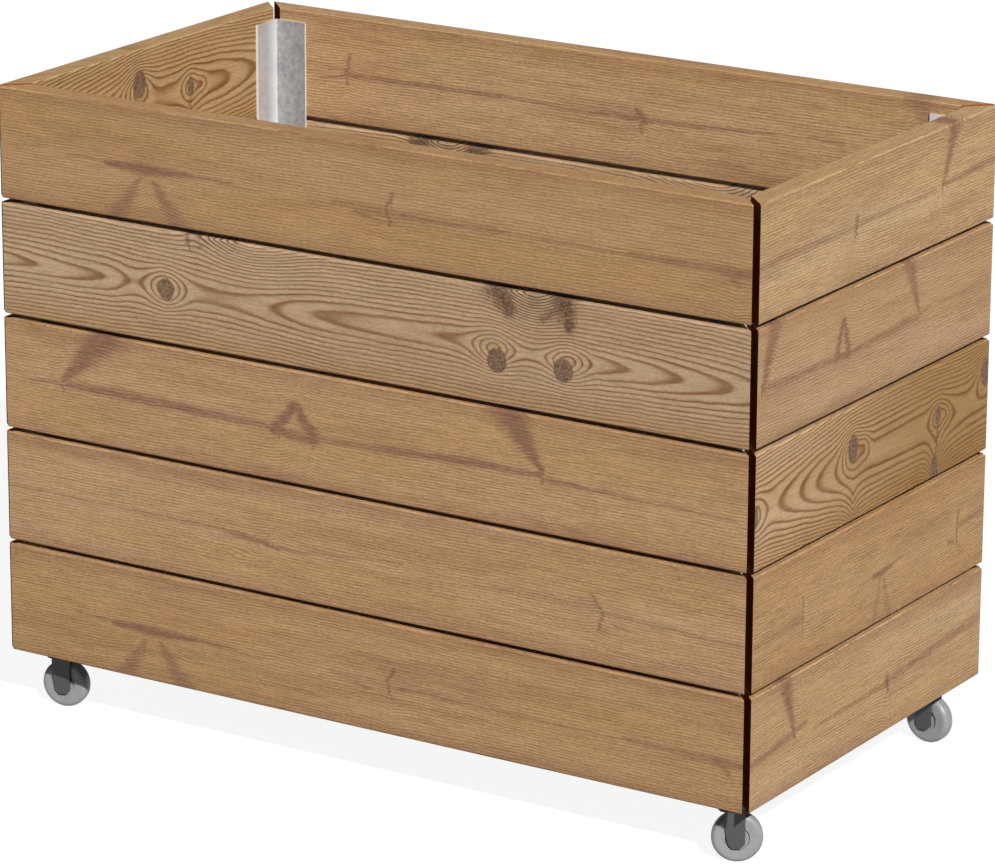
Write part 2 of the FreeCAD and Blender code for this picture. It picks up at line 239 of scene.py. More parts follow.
# Figures of the calm boards, in millimetres along and up from the middle of the face. Marks are brown
# stains: (start, end, half width at start, half width at end, strength). Bends are the same with a lift
# of the grain in millimetres, and peaks are (place, top, half width, lift) where it rises to a point.
CALM = {
    "streak": {
        "tint": (0.94, 0.92, 0.84),
        "marks": [((-350, -1), (-300, -2), 1.4, 2.4, 0.40), ((-302, -3), (-255, -4), 3.0, 6.4, 0.90),
                  ((-255, -4), (-200, -3), 6.4, 2.6, 0.90), ((-205, -3), (-150, -4), 2.6, 2.0, 0.50),
                  ((-170, -5), (-120, -8), 1.8, 1.2, 0.35), ((-262, -16), (-292, -60), 3.0, 13.0, 0.60),
                  ((-244, -16), (-212, -60), 3.0, 13.0, 0.60), ((38, 12), (31, -1), 2.2, 2.8, 0.70),
                  ((31, -5), (35, -19), 2.6, 1.6, 0.70), ((-30, -5), (150, -6), 5.0, 6.0, 0.24),
                  ((-8, -10), (12, -14), 1.6, 1.4, 0.60), ((46, -7), (120, -8), 2.4, 2.2, 0.60),
                  ((120, -7), (314, -9), 2.2, 1.8, 0.42), ((300, -8), (400, -9), 2.6, 5.0, 0.55),
                  ((402, -9), (434, -9), 6.0, 5.0, 0.65), ((410, -12), (418, -22), 4.0, 3.0, 0.55)],
        "bends": [], "peaks": [(-252, 0, 24, 13), (33, -16, 12, -4), (416, -18, 14, -4)]},
    "bands": {
        "tint": (1.0, 1.0, 0.97),
        "marks": [((-302, 62), (-360, 3), 21.0, 3.0, 0.85), ((-361, 3), (-362, -8), 2.4, 1.6, 0.65),
                  ((-402, -2), (-362, 0), 1.8, 2.8, 0.50), ((-356, 0), (-280, -1), 3.6, 6.2, 0.75),
                  ((-280, -1), (-170, -2), 6.2, 5.0, 0.75), ((-170, -2), (-106, -4), 5.0, 2.8, 0.65),
                  ((-79, 22), (-101, -5), 5.2, 7.4, 0.88), ((-76, 22), (-55, -8), 5.2, 7.4, 0.88),
                  ((-101, -6), (-55, -10), 5.6, 5.6, 0.85), ((-98, -6), (-97, -15), 3.0, 1.4, 0.70),
                  ((-57, -9), (-56, -19), 3.0, 1.4, 0.70), ((-54, -7), (30, -4), 3.0, 5.0, 0.60),
                  ((30, -4), (130, 0), 5.4, 5.0, 0.75),
                  ((166, 62), (207, 4), 21.0, 3.0, 0.85), ((207, 4), (209, -8), 2.4, 1.6, 0.65),
                  ((125, 0), (205, 0), 5.0, 3.4, 0.75), ((208, -3), (280, -5), 3.4, 2.4, 0.60),
                  ((280, -5), (420, -8), 2.4, 1.6, 0.44)],
        "bends": [((-298, 72), (-352, 12), 24.0, 12.0, 3.5), ((168, 72), (202, 12), 24.0, 12.0, 3.5)],
        "peaks": [(-78, 52, 13, 9)]},
    "ticks": {
        "tint": (0.99, 1.0, 0.98),
        "marks": [((-428, 2), (-160, 0), 1.6, 2.2, 0.36), ((-165, 0), (-114, -5), 2.4, 4.0, 0.66),
                  ((-114, -4), (-100, -9), 4.2, 2.4, 0.62), ((-100, -7), (-66, -9), 2.6, 1.6, 0.50),
                  ((-66, -6), (47, 3), 1.8, 1.6, 0.36), ((-110, 0), (-109, 6), 1.2, 0.8, 0.50),
                  ((263, 12), (276, -4), 1.8, 3.0, 0.60), ((276, -7), (272, -23), 2.8, 1.6, 0.60),
                  ((150, 0), (268, -2), 4.0, 5.0, 0.28), ((278, -5), (432, -11), 3.0, 2.0, 0.32),
                  ((290, -16), (306, -18), 1.4, 1.0, 0.55)],
        "bends": [((-150, -34), (-106, -8), 12.0, 4.0, -5.0)],
        "peaks": [(-104, 18, 12, 4), (270, 18, 12, 3)]},
    "end top": {
        "tint": (1.10, 1.19, 1.21),
        "marks": [((150, 60), (125, 1), 12.0, 2.4, 0.74), ((125, 1), (124, -8), 2.2, 1.2, 0.55),
                  ((128, 0), (232, 4), 2.5, 5.0, 0.56), ((-235, -3), (-55, -4), 4.0, 5.0, 0.44),
                  ((-50, 4), (-52, -13), 4.5, 2.2, 0.76), ((-48, -2), (110, -3), 3.5, 1.8, 0.46)],
        "bends": [((158, 70), (128, 2), 18.0, 6.0, 6.0)], "peaks": [(-50, -14, 16, 7), (122, -10, 14, 5)]},
    "end upper": {
        "tint": (0.98, 1.01, 1.04),
        "marks": [((-71, 30), (-84, -6), 3.2, 5.6, 0.85), ((-70, 30), (-59, -6), 3.2, 5.6, 0.85),
                  ((-86, -4), (-58, -7), 4.0, 4.0, 0.80), ((58, 60), (83, 0), 12.0, 2.5, 0.70),
                  ((83, 0), (84, -9), 2.0, 1.2, 0.45), ((83, -2), (-50, -6), 5.0, 3.0, 0.55),
                  ((83, 0), (104, 3), 3.0, 1.6, 0.45), ((120, 2), (228, 0), 1.5, 5.0, 0.32),
                  ((-203, 58), (-226, -4), 14.0, 3.0, 0.75), ((-222, -1), (-90, -5), 5.0, 3.6, 0.58)],
        "bends": [((50, 70), (82, 0), 18.0, 6.0, 6.0), ((-196, 70), (-224, -2), 18.0, 6.0, 6.0)],
        "peaks": [(-70, 50, 12, 8)]},
    "end lower": {
        "tint": (0.92, 0.90, 0.80),
        "marks": [((-138, 12), (-138, -24), 1.8, 1.2, 0.60), ((-230, -12), (-142, -8), 4.0, 5.0, 0.40),
                  ((-128, -16), (-114, -14), 2.0, 1.0, 0.45), ((-28, -9), (60, -3), 1.6, 1.8, 0.42),
                  ((4, -8), (38, -6), 4.4, 2.8, 0.80), ((17, -14), (5, -58), 2.4, 6.0, 0.40),
                  ((23, -14), (38, -58), 2.4, 6.0, 0.40), ((178, 12), (177, -22), 2.4, 1.8, 0.75),
                  ((160, -16), (171, -17), 2.8, 1.6, 0.65), ((180, -2), (232, 0), 3.4, 5.0, 0.50)],
        "bends": [], "peaks": [(21, -2, 15, 9), (-138, 20, 12, 3)]},
    "end foot": {
        "tint": (1.02, 1.08, 1.11),
        "marks": [((-172, 60), (-150, 0), 12.0, 3.0, 0.80), ((-150, 0), (-149, -9), 2.4, 1.4, 0.65),
                  ((-232, -10), (-152, -2), 5.0, 4.0, 0.62), ((-148, 0), (-128, 3), 3.4, 1.8, 0.60),
                  ((-112, -8), (35, -7), 1.8, 4.0, 0.50), ((36, -3), (40, -16), 5.4, 2.6, 0.85),
                  ((42, -4), (226, 6), 4.0, 6.0, 0.54)],
        "bends": [((-180, 70), (-151, 0), 16.0, 6.0, 6.0)], "peaks": [(38, -14, 14, -6)]},
    "inner": {
        "tint": (1.02, 1.04, 1.02),
        "marks": [((318, 17), (322, -2), 2.6, 3.0, 0.65), ((321, -3), (322, -16), 2.6, 1.4, 0.60),
                  ((356, -12), (322, -6), 1.4, 2.4, 0.50), ((322, -5), (128, -3), 3.8, 2.6, 0.62),
                  ((128, -3), (20, -6), 2.0, 2.2, 0.42),
                  ((-36, 4), (-46, -6), 3.2, 5.0, 0.72), ((-42, -8), (-42, -20), 2.8, 1.6, 0.60),
                  ((20, -6), (-38, -4), 2.6, 4.0, 0.66), ((-46, -6), (-200, 0), 3.2, 1.8, 0.56),
                  ((-238, 2), (-276, 0), 1.4, 2.6, 0.50), ((-360, 60), (-392, 8), 16.0, 6.0, 0.50)],
        "bends": [((-352, 70), (-390, 4), 22.0, 8.0, 7.0)], "peaks": [(321, 22, 12, 4), (-41, 12, 12, 4)]}}
CALM_BOARDS = {
    "front_board_5": ("streak", 1), "front_board_3": ("bands", 1), "front_board_2": ("ticks", 1),
    "front_board_1": ("streak", 1), "right_board_5": ("end top", 1), "right_board_4": ("end upper", 1),
    "right_board_2": ("end lower", 1), "right_board_1": ("end foot", 1), "back_board_5": ("inner", 1),
    "back_board_3": ("bands", -1), "back_board_2": ("streak", -1), "back_board_1": ("ticks", -1),
    "left_board_4": ("end lower", -1), "left_board_3": ("end top", -1), "left_board_1": ("end upper", -1)}

# Figured boards: heart is how deep the middle of the rings lies below the face along the board, as
# (share of the length, share of depth), first is the radius of the first ring and power how fast the
# next ones follow. Knots are (centre, hill radii, core radii, rings): core radii of 1 leave only the
# rings, and 0 rings only the core. Rough marks are dark bark, and shade marks darken the rings alone.
# All are in millimetres.
FIGURES = {
    "long": {
        "ring": srgb(122, 82, 42), "depth": 40, "first": 9.0, "power": 1.34,
        "heart": [(0.0, 0.10), (0.05, 0.22), (0.10, 0.30), (0.15, 0.38), (0.20, 0.54), (0.30, 0.58),
                  (0.38, 0.48), (0.425, 0.38), (0.52, 0.29), (0.60, 0.22), (0.70, 0.11), (0.79, 0.11),
                  (0.85, 0.22), (0.92, 0.38), (1.0, 0.55)],
        "knots": [((-231, -3), (20, 20), (9.5, 11.5), -3.4),
                  ((152, -6), (20, 20), (1, 1), -3.2), ((156, -14), (18, 18), (11, 12.5), 0.0),
                  ((235, -6), (20, 20), (1, 1), -3.2), ((230, -12), (18, 18), (11, 12), 0.0),
                  ((197, 60), (32, 34), (1, 1), 5.5), ((-124, 72), (58, 40), (1, 1), 5.5),
                  ((-190, 78), (26, 30), (1, 1), -4.0)],
        "peaks": [],
        "rough": [((157, 60), (170, 38), 19.0, 8.0, 0.95), ((229, 60), (236, 30), 18.0, 6.0, 0.95),
                  ((222, 46), (206, 34), 6.0, 4.0, 0.70), ((197, 60), (197, 50), 12.0, 8.0, 0.40),
                  ((-206, 58), (-203, 44), 2.4, 1.6, 0.8), ((-193, 57), (-190, 47), 2.0, 1.4, 0.7)],
        "shade": [((185, 62), (210, 62), 30.0, 30.0, 1.0), ((-190, 60), (-150, 56), 14.0, 8.0, 0.8)]},
    "end": {
        "ring": srgb(112, 66, 20), "depth": 46, "first": 18.0, "power": 1.9,
        "heart": [(0.0, 1.0), (0.096, 0.91), (0.18, 0.81), (0.245, 0.70), (0.33, 0.563), (0.394, 0.40),
                  (0.46, 0.28), (0.55, 0.15), (0.70, 0.15), (0.80, 0.30), (0.90, 0.45), (1.0, 0.52)],
        "knots": [((-46, 16), (20, 22), (10, 14), -3.2), ((129, 5), (15, 18), (6, 10), -2.4),
                  ((229, 25), (22, 22), (10, 14), -3.0), ((123, -50), (16, 26), (8, 15), -3.0),
                  ((-236, -3), (20, 26), (7, 12), -2.6), ((-22, 14), (11, 13), (1, 1), -1.4),
                  ((146, 4), (9, 10), (1, 1), -1.2)],
        "peaks": [(-44, -14, 13, -14), (127, -8, 10, -8)],
        "rough": [((129, -6), (124, -40), 1.6, 3.0, 0.55)],
        "shade": [((-48, -42), (-44, -56), 14.0, 10.0, 0.4)]}}
FIGURES["inner end"] = {
    **FIGURES["end"],
    "knots": [((-32, 21), (20, 22), (11, 15), -3.2), ((58, 3), (15, 18), (6, 10), -2.4),
              ((78, 2), (9, 10), (1, 1), -1.2), ((-236, -3), (20, 26), (7, 12), -2.6)],
    "peaks": [(-30, -9, 13, -14), (56, -10, 10, -8)],
    "rough": [((58, -8), (53, -42), 1.6, 3.0, 0.55)],
    "shade": [((-34, 50), (-30, 40), 10.0, 8.0, 0.4)]}
FIGURED_BOARDS = {      # board: (figure, side, tint at the figure's start, tint at its end)
    "front_board_4": ("long", 1, (0.99, 0.97, 0.92), (0.96, 0.93, 0.88)),
    "right_board_3": ("end", 1, (1.02, 0.97, 0.84), (0.68, 0.58, 0.36)),
    "back_board_4": ("long", 1, (0.95, 0.90, 0.82), (0.95, 0.90, 0.82)),
    "left_board_5": ("inner end", -1, (0.86, 0.78, 0.58), (0.86, 0.78, 0.58)),
    "left_board_2": ("end", 1, (0.97, 0.92, 0.80), (0.86, 0.78, 0.62))}


def board_point(graph, node):
    """Metres along the board, up from its middle, and out from its outer face (so negative inside)."""
    low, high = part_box(node)
    wall = node.split("_")[0]
    outwards = {"front": -low.y, "right": high.x, "back": high.y, "left": -low.x}[wall]
    coords = graph.node("TexCoord")
    mapping = graph.node("Mapping")
    graph.feed(mapping.inputs["Vector"], coords.outputs["Object"])
    mapping.inputs["Rotation"].default_value = (math.radians(-90), math.radians(-WALL_YAW[wall]), 0.0)
    mapping.inputs["Location"].default_value = (0.0, -(low.z + high.z) / 2.0, -outwards)
    return mapping.outputs[0]


def shifted(graph, point, offset):
    """The point moved by a fixed offset, so that boards alike in kind don't share their noise."""
    return graph.vector("ADD", point, offset)


def end_mask(graph):
    """1 on the mitred ends of a board, which face halfway between two walls."""
    normal = graph.split(graph.node("TexCoord").outputs["Normal"])
    slant = graph.math("MINIMUM", graph.math("ABSOLUTE", normal[0]), graph.math("ABSOLUTE", normal[1]))
    return graph.fit(slant, 0.45, 0.60)


def upward(graph):
    """1 on top and bottom faces."""
    return graph.math("ABSOLUTE", graph.split(graph.node("TexCoord").outputs["Normal"])[2])


def wood_shader(material, graph, colour, line, fibre):
    """Satin oiled wood over the given colour, its grain slightly raised and its mitred ends dark and without
    specular: darker end grain and painted shade in the slots between the boards.
    """
    shader = material.node_tree.nodes["Principled BSDF"]
    ends = end_mask(graph)
    # The mitred ends take a dark brown: darker end grain and painted shade for the slots between the boards.
    graph.feed(shader.inputs["Base Color"], graph.mix(graph.math("MULTIPLY", ends, 0.95), colour, END_GRAIN_AND_SHADE))
    rough = graph.math("ADD", graph.fit(fibre, 0.2, 0.8, 0.70, 0.82), graph.math("MULTIPLY", line, -0.06))
    graph.feed(shader.inputs["Roughness"], rough)
    graph.feed(shader.inputs["Specular IOR Level"], graph.fit(ends, 0.0, 1.0, 0.20, 0.0))
    height = graph.math("ADD", graph.math("MULTIPLY", line, 0.5), graph.math("MULTIPLY", fibre, 0.8))
    graph.feed(shader.inputs["Normal"], graph.bump(height, 0.0003, 0.6))


def sum_of(graph, values):
    total = 0.0
    for value in values:
        total = graph.math("ADD", total, value)
    return total


def strongest_of(graph, values):
    """The largest of the values, so that marks that meet don't darken each other."""
    largest = 0.0
    for value in values:
        largest = graph.math("MAXIMUM", largest, value)
    return largest


def strokes(graph, point, marks, side, unit=1.0):
    """One weighted mask per mark, mirrored along the board where side is -1."""
    masks = []
    for start, end, width, tip, strength in marks:
        first, last = ((side * x, y) for x, y in (start, end))
        mask = graph.group(STROKE, Point=point, Start=flat(first), End=flat(last),
                           Width=width / 1000.0, Tip=tip / 1000.0)[0]
        masks.append(graph.math("MULTIPLY", mask, strength * unit))
    return masks


def peak_lifts(graph, along, up, peaks, side):
    """How far the grain rises to a point under each peak, in metres."""
    lifts = []
    for place, top, width, lift in peaks:
        away = graph.math("ABSOLUTE", graph.math("SUBTRACT", along, side * place / 1000.0))
        hill = graph.math("EXPONENT", graph.math("DIVIDE", away, -width / 1000.0))
        below = graph.fit(up, (top + 10) / 1000.0, (top - 20) / 1000.0, smooth=True)
        lifts.append(graph.math("MULTIPLY", graph.math("MULTIPLY", hill, below), lift / 1000.0))
    return lifts


def face_point(graph, point):
    """The point with its depth taken out, so that marks run through the board."""
    x, y, _ = graph.split(point)
    return graph.join(x, y, 0.0)


def grain_lines(graph, place, ring):
    """Thin dark line at the end of each ring of the given width."""
    rings = graph.math("FRACT", graph.math("DIVIDE", place, ring))
    return graph.ramp(rings, GRAIN_PROFILE)


def fibres(graph, point):
    """Fine fibres of the wood as a grey to multiply by, and the noise that they come from."""
    fibre = graph.noise(point, (210.0, 620.0, 620.0), 3.0, 0.7)
    thread = graph.noise(point, (30.0, 560.0, 560.0), 2.0, 0.6)
    grey = graph.math("MULTIPLY", graph.fit(fibre, 0.30, 0.62, 0.72, 1.06),
                      graph.fit(thread, 0.32, 0.62, 0.80, 1.04))
    return graph.join(grey, grey, grey), fibre


def start_board(node, seed):
    """A board's material, its graph, the point on the board, and the point that its own noise uses."""
    material = new_material("wood_" + node)
    graph = Graph(material.node_tree)
    point = board_point(graph, node)
    own = shifted(graph, point, (seed * 1.7, seed * 0.31, seed * 0.53))
    return material, graph, point, own


def calm_sway(graph, own):
    """Slow sway of the grain, and its quick shake, in metres."""
    sway = graph.centred(graph.noise(own, (3.0, 9.0, 9.0)), 0.006)
    ripple = graph.centred(graph.noise(own, (38.0, 55.0, 55.0), 3.0), 0.0014)
    shiver = graph.centred(graph.noise(own, (130.0, 240.0, 240.0), 2.0), 0.0010)
    return sway, graph.math("ADD", ripple, shiver)


def calm_line(graph, point, sway, shake, figure, side):
    """Fine dark grain lines, which bend at the figure's marks."""
    along, up, out = graph.split(point)
    lift = sum_of(graph, peak_lifts(graph, along, up, figure["peaks"], side)
                  + strokes(graph, face_point(graph, point), figure["bends"], side, 0.001))
    place = graph.math("ADD", graph.math("SUBTRACT", up, lift), graph.math("MULTIPLY", out, 0.8))
    place = graph.math("ADD", place, graph.math("ADD", sway, shake))
    return grain_lines(graph, place, CALM_RING)


def calm_stain(graph, point, own, shake, line, figure, side):
    """Brown stains at the figure's marks, feathered along the grain and flecked."""
    feather = graph.centred(graph.noise(own, (40.0, 260.0, 260.0), 2.0), 0.0055)
    brushed = graph.vector("ADD", face_point(graph, point), graph.join(feather, shake, 0.0))
    flecks = graph.fit(graph.noise(own, (70.0, 330.0, 330.0), 3.0, 0.6), 0.30, 0.70, 0.62, 1.20)
    marks = strongest_of(graph, strokes(graph, brushed, figure["marks"], side))
    stain = graph.math("MULTIPLY", marks, flecks)
    stain = graph.math("MULTIPLY", stain, graph.fit(line, 0.0, 1.0, 0.95, 1.45))
    return graph.math("MINIMUM", stain, 0.90)


def calm_colour(graph, point, own, sway, tint):
    """Tan and golden clouds, rosier in patches and towards the long edges."""
    up = graph.split(point)[1]
    cloud = graph.noise(own, (2.2, 16.0, 16.0), 3.0, 0.55)
    colour = graph.mix(graph.fit(cloud, 0.35, 0.65, smooth=True), TAN, GOLDEN)
    height = graph.math("ABSOLUTE", graph.math("ADD", up, sway))
    edge = graph.math("MULTIPLY", graph.fit(height, 0.036, 0.060, 0.0, 0.70, smooth=True),
                      graph.fit(upward(graph), 0.5, 0.8, 1.0, 0.2))
    patch = graph.noise(own, (3.0, 30.0, 30.0), 4.0, 0.6)
    blush = graph.fit(patch, 0.50, 0.75, 0.0, 0.7, smooth=True)
    colour = graph.mix(graph.math("ADD", edge, blush, clamp=True), colour, ROSE)
    return graph.mix(1.0, colour, (*tint, 1.0), "MULTIPLY")


def calm_board(node, figure, side, seed):
    """Straight-grained board: fine wavy lines along it, rosy patches, brown streaks and small knots."""
    material, graph, point, own = start_board(node, seed)
    sway, shake = calm_sway(graph, own)
    line = calm_line(graph, point, sway, shake, figure, side)
    stain = calm_stain(graph, point, own, shake, line, figure, side)
    colour = calm_colour(graph, point, own, sway, figure["tint"])
    patchy = graph.noise(own, (9.0, 70.0, 70.0), 3.0, 0.6)
    depth = graph.math("MULTIPLY", line, graph.fit(patchy, 0.30, 0.70, 0.30, 0.90))
    colour = graph.mix(depth, colour, LINE)
    colour = graph.mix(stain, colour, STAIN)
    grey, fibre = fibres(graph, own)
    colour = graph.mix(1.0, colour, grey, "MULTIPLY")
    wood_shader(material, graph, colour, depth, fibre)
    return material


def heart_rings(graph, point, shake, share, figure, side):
    """How many rings out from the heart each point lies. The heart runs under the face."""
    along, up, out = graph.split(point)
    lift = sum_of(graph, peak_lifts(graph, along, up, figure["peaks"], side))
    height = graph.math("ADD", graph.math("SUBTRACT", up, lift), shake)
    heart = graph.math("MULTIPLY", graph.curve(share, figure["heart"]), figure["depth"] / 1000.0)
    deep = graph.math("ADD", heart, graph.math("MULTIPLY", out, -0.25))
    radius = graph.vector("LENGTH", graph.join(height, deep, 0.0), result="Value")
    return graph.math("POWER", graph.math("DIVIDE", radius, figure["first"] / 1000.0), figure["power"])


def close_round_knots(graph, rings, point, figure, side):
    """The rings closed round each knot, and 1 inside the knots."""
    cores = []
    for centre, spread, size, count in figure["knots"]:
        knot = graph.group(KNOT_HILL, Point=point, Centre=flat((side * centre[0], centre[1])),
                           Spread=flat(spread, 1.0), Size=flat(size, 1.0))
        rings = graph.math("ADD", rings, graph.math("MULTIPLY", knot["Bump"], count))
        cores.append(knot["Core"])
    return rings, graph.math("MINIMUM", sum_of(graph, cores), 1.0)


def figured_colour(graph, point, own, share, tints):
    """Pale beige, warmer in clouds and along the lower edge, its tint changing along the board."""
    up = graph.split(point)[1]
    cloud = graph.noise(own, (2.5, 18.0, 18.0), 3.0, 0.55)
    golden = graph.math("ADD", graph.fit(up, -0.020, -0.058, 0.0, 0.8, smooth=True),
                        graph.fit(cloud, 0.52, 0.75, 0.0, 0.5, smooth=True), clamp=True)
    colour = graph.mix(golden, BEIGE, BEIGE_WARM)
    tint = graph.mix(graph.fit(share, 0.12, 0.70), (*tints[0], 1.0), (*tints[1], 1.0))
    return graph.mix(1.0, colour, tint, "MULTIPLY")


def darken_knots(graph, colour, point, own, core, line, figure, side):
    """The colour with mottled dark knots, dark ragged bark, and dark rings where the figure has shade."""
    mottle = graph.noise(own, (420.0, 420.0, 420.0), 3.0, 0.7)
    dark = graph.mix(graph.fit(mottle, 0.35, 0.65, smooth=True), KNOT, KNOT_PALE)
    colour = graph.mix(graph.math("MULTIPLY", core, 0.9), colour, dark)
    feather = graph.centred(graph.noise(own, (160.0, 160.0, 160.0), 3.0, 0.7), 0.010)
    ragged = graph.vector("ADD", face_point(graph, point), graph.join(feather, 0.0, 0.0))
    bark = graph.math("MULTIPLY", strongest_of(graph, strokes(graph, ragged, figure["rough"], side)),
                      graph.fit(mottle, 0.35, 0.6, 0.50, 1.05), clamp=True)
    shade = graph.math("MULTIPLY", strongest_of(graph, strokes(graph, ragged, figure["shade"], side)), line)
    return graph.mix(graph.math("MAXIMUM", bark, shade), colour, KNOT)


def figured_board(node, figure, side, tints, seed):
    """Flat-sawn board: wide arched rings down its middle, closing round dark knots."""
    material, graph, point, own = start_board(node, seed)
    low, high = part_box(node)
    half = max(high.x - low.x, high.y - low.y) / 2.0
    along, up, _ = graph.split(point)
    share = graph.fit(along, -side * half, side * half)

    wave = graph.centred(graph.noise(own, (9.0, 26.0, 26.0), 2.0), 0.0035)
    ripple = graph.centred(graph.noise(own, (60.0, 90.0, 90.0), 3.0), 0.0009)
    shiver = graph.centred(graph.noise(own, (240.0, 300.0, 300.0)), 0.0006)
    shake = graph.math("ADD", wave, graph.math("ADD", ripple, shiver))
    rings = heart_rings(graph, point, shake, share, figure, side)
    x, y = graph.math("ADD", along, ripple), graph.math("ADD", up, graph.math("MULTIPLY", wave, 0.5))
    rings, core = close_round_knots(graph, rings, graph.join(x, y, 0.0), figure, side)
    line = graph.ramp(graph.math("FRACT", rings), RING_PROFILE)

    colour = figured_colour(graph, point, own, share, tints)
    patchy = graph.noise(own, (11.0, 60.0, 60.0), 2.0)
    strength = graph.math("MULTIPLY", graph.fit(patchy, 0.3, 0.7, 0.70, 1.0),
                          graph.fit(upward(graph), 0.5, 0.8, 1.0, 0.3))
    colour = graph.mix(graph.math("MULTIPLY", line, strength), colour, figure["ring"])
    colour = darken_knots(graph, colour, point, own, core, line, figure, side)
    grey, fibre = fibres(graph, own)
    colour = graph.mix(0.8, colour, grey, "MULTIPLY")
    wood_shader(material, graph, colour, line, fibre)
    return material


def new_material(name):
    material = bpy.data.materials.new(name)
    material.use_nodes = True
    return material


def plain_batten(node, seed):
    """Quiet planed timber for the floor, with its grain along the piece."""
    low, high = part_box(node)
    lengthwise_y = high.y - low.y > high.x - low.x
    material = new_material("wood_" + node)
    graph = Graph(material.node_tree)
    coords = graph.node("TexCoord").outputs["Object"]
    x, y, z = graph.split(coords)
    along, across = (y, x) if lengthwise_y else (x, y)
    own = shifted(graph, graph.join(along, across, z), (seed * 0.9, seed * 0.37, 0.0))
    sway = graph.centred(graph.noise(own, (4.0, 14.0, 14.0)), 0.008)
    ripple = graph.centred(graph.noise(own, (50.0, 80.0, 80.0), 3.0), 0.0010)
    slope = graph.math("ADD", across, graph.math("MULTIPLY", z, 0.7))
    place = graph.math("ADD", slope, graph.math("ADD", sway, ripple))
    line = grain_lines(graph, place, CALM_RING)
    grey, fibre = fibres(graph, own)
    cloud = graph.noise(own, (2.5, 16.0, 16.0), 3.0, 0.55)
    colour = graph.mix(graph.fit(cloud, 0.35, 0.65, smooth=True), TAN, GOLDEN)
    line_depth = graph.math("MULTIPLY", line, graph.fit(cloud, 0.3, 0.7, 0.3, 0.7))
    colour = graph.mix(line_depth, colour, LINE)
    colour = graph.mix(1.0, colour, grey, "MULTIPLY")
    wood_shader(material, graph, colour, line_depth, fibre)
    return material


def galvanised():
    """Hot-dip zinc on folded sheet: fine grey mottle, painted shade on the flanges that face front or back on
    the left half of the box, a painted highlight near the folds of the sideways flanges, and a pale strip at
    the free edges.
    """
    material = new_material("zinc_sheet")
    graph = Graph(material.node_tree)
    coords = graph.node("TexCoord").outputs
    point = coords["Object"]
    mottle = graph.noise(point, (160.0, 160.0, 160.0), 4.0, 0.7)
    cloud = graph.noise(point, (45.0, 45.0, 45.0), 4.0, 0.6)
    grain = graph.noise(point, (600.0, 600.0, 600.0), 2.0)
    tone = graph.math("ADD", graph.math("MULTIPLY", mottle, 0.65), graph.math("MULTIPLY", cloud, 0.35))
    lit_zinc = graph.mix(graph.fit(tone, 0.35, 0.65, smooth=True), ZINC_WARM, ZINC_PALE)
    shaded_zinc = graph.mix(graph.fit(tone, 0.35, 0.65, smooth=True), ZINC_SHADED_DARK, ZINC_SHADED_GREY)
    # Painted shade: flanges facing front or back on the left half of the box take the darker greys.
    across = graph.math("MULTIPLY", graph.math("ABSOLUTE", graph.split(coords["Normal"])[1]),
                        graph.fit(graph.split(point)[0], -0.1, 0.1, 1.0, 0.0))
    colour = graph.mix(graph.fit(across, 0.4, 0.9), lit_zinc, shaded_zinc)
    from_middle = graph.math("ABSOLUTE", graph.split(point)[1])
    # Painted highlight: the sideways flanges pale towards their folds.
    fold_highlight = graph.math("MULTIPLY", graph.fit(from_middle, FOLD - 0.018, FOLD, 0.0, 0.8),
                      graph.fit(across, 0.6, 0.4))
    colour = graph.mix(fold_highlight, colour, ZINC_EDGE_AND_HIGHLIGHT)
    colour = graph.mix(graph.fit(from_middle, CUT_EDGE + 0.0006, CUT_EDGE), colour, ZINC_EDGE_AND_HIGHLIGHT)
    shader = material.node_tree.nodes["Principled BSDF"]
    graph.feed(shader.inputs["Base Color"], colour)
    shader.inputs["Metallic"].default_value = 0.40
    graph.feed(shader.inputs["Roughness"], graph.fit(tone, 0.2, 0.8, 0.44, 0.60))
    height = graph.math("ADD", graph.math("MULTIPLY", tone, 0.7), graph.math("MULTIPLY", grain, 0.3))
    graph.feed(shader.inputs["Normal"], graph.bump(height, 0.0003, 0.4))
    return material


def bright_zinc():
    """Zinc plating on small turned parts, finely brushed."""
    material = new_material("zinc_plated")
    graph = Graph(material.node_tree)
    point = graph.node("TexCoord").outputs["Object"]
    grain = graph.noise(point, (900.0, 900.0, 250.0), 3.0, 0.6)
    colour = graph.mix(graph.fit(grain, 0.3, 0.7), srgb(176, 176, 174), srgb(206, 206, 204))
    shader = material.node_tree.nodes["Principled BSDF"]
    graph.feed(shader.inputs["Base Color"], colour)
    shader.inputs["Metallic"].default_value = 1.0
    graph.feed(shader.inputs["Roughness"], graph.fit(grain, 0.2, 0.8, 0.30, 0.46))
    graph.feed(shader.inputs["Normal"], graph.bump(grain, 0.0001, 0.5))
    return material


def powder_coat():
    """Dark grey powder coat with a fine orange-peel texture."""
    material = new_material("powder_coat")
    graph = Graph(material.node_tree)
    point = graph.node("TexCoord").outputs["Object"]
    peel = graph.noise(point, (700.0, 700.0, 700.0), 3.0, 0.6)
    dust = graph.noise(point, (1400.0, 1400.0, 1400.0), 2.0, 0.7)
    colour = graph.mix(graph.fit(dust, 0.3, 0.7), srgb(50, 50, 50), srgb(70, 70, 70))
    shader = material.node_tree.nodes["Principled BSDF"]
    graph.feed(shader.inputs["Base Color"], colour)
    graph.feed(shader.inputs["Roughness"], graph.fit(peel, 0.2, 0.8, 0.42, 0.60))
    graph.feed(shader.inputs["Normal"], graph.bump(peel, 0.0004, 0.8))
    return material


